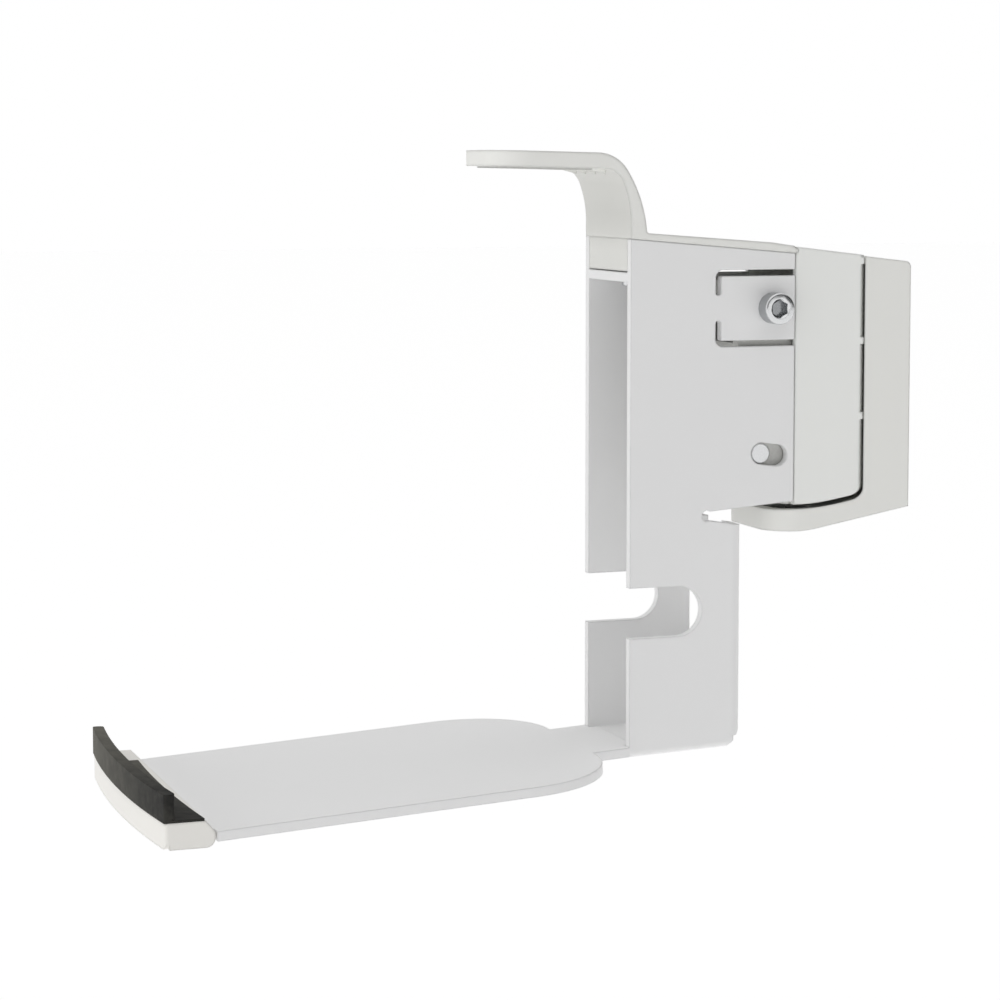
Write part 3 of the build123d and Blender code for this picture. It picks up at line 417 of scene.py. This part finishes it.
# %% Friction lining
def friction_lining():
    """Dark and dull, with fibres that show as paler specks under half a millimetre across."""
    material = new_material("pressed fibre lining")
    place = add_node(material, "ShaderNodeTexCoord").outputs["Object"]
    fibres = add_node(material, "ShaderNodeTexNoise", {"Scale": millimetres(0.4), "Detail": 4.0},
                      {"Vector": place})
    tint = add_node(material, "ShaderNodeMix", {
        "data_type": "RGBA", MIX_FIRST: linear("2A2826"), MIX_SECOND: linear("4A4743")},
        {"Factor": fibres.outputs["Fac"]})
    bump = add_node(material, "ShaderNodeBump", {"Strength": 0.4, "Distance": 0.00003},
                    {"Height": fibres.outputs["Fac"]})
    shader = add_node(material, "ShaderNodeBsdfPrincipled", {"Roughness": 0.8}, {
        "Base Color": tint.outputs[MIX_COLOUR], "Normal": bump.outputs["Normal"]})
    return finish_material(material, shader)


lining = friction_lining()
print("made", lining.name)

# %% [markdown]
# ## Dressing the solids
# Each CAD solid gets the finish of the real part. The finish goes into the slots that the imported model
# already has, and not into new ones, so that every face keeps the slot that it was packed with.

# %% Give the finishes to the CAD nodes
finishes = {
    "column": coated,
    "top_hook": hook_plastic_with_painted_shade, "swivel_shell": shell_plastic, "wall_plate": plastic,
    "front_lip": lip_plastic,
    "lip_rubber": rubber,
    "clamp_screws": zinc_plate, "guide_pin": zinc_plate, "pivot_post": zinc_plate,
    "lock_nut": zinc_plate, "disc_springs": zinc_plate, "hook_screws": zinc_plate,
    "shell_screws": zinc_plate, "lip_screws": zinc_plate, "pivot_plate_screws": zinc_plate,
    "pivot_plate": blackened, "swivel_core": cast_alloy,
    "lower_bush": bronze, "upper_bush": bronze,
    "friction_discs": lining,
}
for node, material in finishes.items():
    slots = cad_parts[node].material_slots
    for entry in slots:
        entry.material = material
    if not slots:
        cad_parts[node].data.materials.append(material)
print("dressed", len(finishes), "of", len(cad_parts), "nodes")

# %% [markdown]
# ## Clamp screws
# An M6 socket head screw clamps the column on each side. Its head is cold formed: a rounded rim, a
# conical mouth and a hexagon socket. It could be turned as one profile with Spin, but the socket has six
# sides, so a blank is shaped from a cylinder and the socket and its mouth are cut out of it. One screw is
# made in place, then a turned copy for the other side.

# %% Helpers for shaping
CLOSE = 1e-5  # two places nearer than this are the same


def pick(mesh, kind, wanted):
    """Selects the faces or edges of the edited mesh whose corners fit the test."""
    bpy.ops.mesh.select_all(action="DESELECT")
    bpy.ops.object.mode_set(mode="OBJECT")
    for part in mesh.polygons if kind == "FACE" else mesh.edges:
        part.select = wanted([mesh.vertices[i].co for i in part.vertices])
    bpy.ops.object.mode_set(mode="EDIT")
    bpy.ops.mesh.select_mode(type=kind)


def cut_with(target, cutter):
    """Takes the active cutter out of the target and deletes it."""
    settle()
    alone()
    target.select_set(True)
    bpy.context.view_layer.objects.active = target
    cut = target.modifiers.new("cut", "BOOLEAN")
    cut.operation = "DIFFERENCE"
    cut.solver = "EXACT"
    cut.object = cutter
    bpy.ops.object.modifier_apply(modifier=cut.name)
    bpy.data.objects.remove(cutter)


def edited_copy(piece):
    """A copy of a piece with its own mesh, left in edit mode with everything selected."""
    alone()
    piece.select_set(True)
    bpy.context.view_layer.objects.active = piece
    bpy.ops.object.duplicate()
    bpy.ops.object.mode_set(mode="EDIT")
    bpy.ops.mesh.select_all(action="SELECT")
    return bpy.context.object


def dress(piece, name, material, body):
    """Names a piece, gives it its finish and hangs it on its body."""
    piece.name = name
    piece.data.name = name
    if not piece.data.materials:
        piece.data.materials.append(material)
    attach(piece, body)
    print("made", name, "with", len(piece.data.polygons), "faces")


print("places nearer than", CLOSE, "m count as one")

# %% The screw's blank: head, shank and chamfered end
screw_y, screw_z = -0.0489, 0.02555
wall_face, head_face = 0.01953, 0.0255  # the head's underside and its outer face, in X
head_radius, rim_round = 0.005, 0.0006
shank_step = 0.002                      # from the head's edge in to the M6 shank
shank_length, end_chamfer = 0.0115, 0.0005

alone()
bpy.ops.mesh.primitive_cylinder_add(
    vertices=48, radius=head_radius, depth=head_face - wall_face,
    location=((wall_face + head_face) / 2, screw_y, screw_z), rotation=(0, math.pi / 2, 0))
screw = bpy.context.object
settle()
bpy.ops.object.mode_set(mode="EDIT")
pick(screw.data, "EDGE", lambda spots: all(abs(spot.x - head_face) < CLOSE for spot in spots))
bpy.ops.mesh.bevel(offset=rim_round, segments=4)
pick(screw.data, "FACE", lambda spots: all(abs(spot.x - wall_face) < CLOSE for spot in spots))
bpy.ops.mesh.inset(thickness=shank_step)
bpy.ops.mesh.extrude_region_move(TRANSFORM_OT_translate={"value": (-shank_length, 0, 0)})
bpy.ops.mesh.inset(thickness=end_chamfer)
bpy.ops.transform.translate(value=(-end_chamfer, 0, 0))
bpy.ops.object.mode_set(mode="OBJECT")
print("screw blank:", len(screw.data.polygons), "faces")

# %% The hexagon socket and its conical mouth
across_flats, socket_depth = 0.005, 0.003
mouth_inner, mouth_outer = 0.0024, 0.0034  # the cone's radii, below and above the head's face
mouth_height, mouth_sink = 0.001, 0.0003

alone()
bpy.ops.mesh.primitive_cylinder_add(
    vertices=6, radius=across_flats / 2 / math.cos(math.pi / 6), depth=2 * socket_depth,
    location=(head_face, screw_y, screw_z), rotation=(0, math.pi / 2, 0))
hexagon = bpy.context.object
settle()
bpy.ops.object.mode_set(mode="EDIT")
bpy.ops.mesh.select_all(action="SELECT")
bpy.ops.transform.rotate(value=math.pi / 6, orient_axis="X", center_override=(head_face, screw_y, screw_z))
bpy.ops.object.mode_set(mode="OBJECT")
cut_with(screw, hexagon)

alone()
bpy.ops.mesh.primitive_cone_add(
    vertices=48, radius1=mouth_inner, radius2=mouth_outer, depth=mouth_height,
    location=(head_face - mouth_sink, screw_y, screw_z), rotation=(0, math.pi / 2, 0))
cut_with(screw, bpy.context.object)
print("screw with its socket:", len(screw.data.polygons), "faces")

# %% The screw's three finishes: bright, painted shade in the socket, painted shade and more roughness on the rolled side
shaded_socket_reach = 0.0029                    # the socket's faces lie nearer to the axis than this
shaded_rolled_reach = 0.0049                    # the rolled side lies farther out than this
below_mouth, below_rim = 0.0006, 0.0007  # how far under the head's face each of them starts
above_underside = 0.0001                 # the socket's faces lie higher than this, the shank's lower

alone()
screw.select_set(True)
bpy.context.view_layer.objects.active = screw
bpy.ops.object.shade_smooth_by_angle(angle=math.radians(25))
for material in (zinc_plate, zinc_socket_painted_shade, zinc_rolled_painted_shade):
    screw.data.materials.append(material)
# painted shade: the socket's faces and the rolled side take the darker zinc copies
for face in screw.data.polygons:
    middle = face.center
    off_axis = math.hypot(middle.y - screw_y, middle.z - screw_z)
    if wall_face + above_underside < middle.x < head_face - below_mouth and off_axis < shaded_socket_reach:
        face.material_index = 1
    elif middle.x < head_face - below_rim and off_axis > shaded_rolled_reach:
        face.material_index = 2
print("socket faces:", sum(face.material_index == 1 for face in screw.data.polygons))

# %% The far screw is the near one, turned half round about the upright
other = edited_copy(screw)
bpy.ops.transform.rotate(value=math.pi, orient_axis="Z", center_override=(0, screw_y, screw_z))
bpy.ops.object.mode_set(mode="OBJECT")
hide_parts("clamp_screws")
dress(screw, "clamp_screw_near", zinc_plate, "swivel_block")
dress(other, "clamp_screw_far", zinc_plate, "swivel_block")

# %% [markdown]
# ## Gussets in the hook's corner
# Four small ticks show in the hook's inner corner, each above one of the ribs under the arm. They are
# read as gussets, which stiffen a moulded corner. They could be an array, but the ribs are not evenly
# spaced, so one is shaped from a block, with a slanted front and eased edges, and three copies are moved.

# %% Gussets
rib_x = (-0.0126, -0.0043, 0.0043, 0.0126)
gusset_width = 0.0012
gusset_front, gusset_rear = -0.1082, -0.1035
gusset_low, gusset_high = 0.0680, 0.0705
front_rise, eased_edge = 0.0013, 0.00025
top_margin = 0.0005  # edges that reach nearer to the top than this stay sharp, under the arm

alone()
bpy.ops.mesh.primitive_cube_add(
    size=1.0, location=(rib_x[0], (gusset_front + gusset_rear) / 2, (gusset_low + gusset_high) / 2),
    scale=(gusset_width, gusset_rear - gusset_front, gusset_high - gusset_low))
first_gusset = bpy.context.object
settle()
bpy.ops.object.mode_set(mode="EDIT")
pick(first_gusset.data, "EDGE", lambda spots: all(
    abs(spot.y - gusset_front) < CLOSE and abs(spot.z - gusset_low) < CLOSE for spot in spots))
bpy.ops.transform.translate(value=(0, 0, front_rise))
pick(first_gusset.data, "EDGE", lambda spots: abs(spots[0].x - spots[1].x) < CLOSE
     and max(spot.z for spot in spots) < gusset_high - top_margin)
bpy.ops.mesh.bevel(offset=eased_edge, segments=2)
bpy.ops.object.mode_set(mode="OBJECT")

gussets = [first_gusset]
for x in rib_x[1:]:
    gussets.append(edited_copy(first_gusset))
    bpy.ops.transform.translate(value=(x - rib_x[0], 0, 0))
    bpy.ops.object.mode_set(mode="OBJECT")
for number, gusset in enumerate(gussets, start=1):
    dress(gusset, "gusset_" + str(number), hook_plastic_with_painted_shade, "speaker_column")

# %% [markdown]
# ## Shoulder of the plug
# The real hook is moulded in one, from arm to plug. The solid has a joint of 0.1 mm between riser and
# plug, which would show as a dark line. The joint could be closed in the mesh, but a solid stays as it
# is, so a low shoulder is laid over the joint, with the edges at its two ends eased.

# %% Shoulder of the plug
shoulder_place = (0, -0.09702, 0.0478)
shoulder_size = (0.0328, 0.001, 0.0005)
shoulder_ease = 0.0001

alone()
bpy.ops.mesh.primitive_cube_add(size=1.0, location=shoulder_place, scale=shoulder_size)
shoulder = bpy.context.object
settle()
bpy.ops.object.mode_set(mode="EDIT")
pick(shoulder.data, "EDGE", lambda spots: abs(spots[0].y - spots[1].y) > CLOSE)
bpy.ops.mesh.bevel(offset=shoulder_ease, segments=2)
bpy.ops.object.mode_set(mode="OBJECT")
dress(shoulder, "plug_shoulder", hook_plastic_with_painted_shade, "speaker_column")
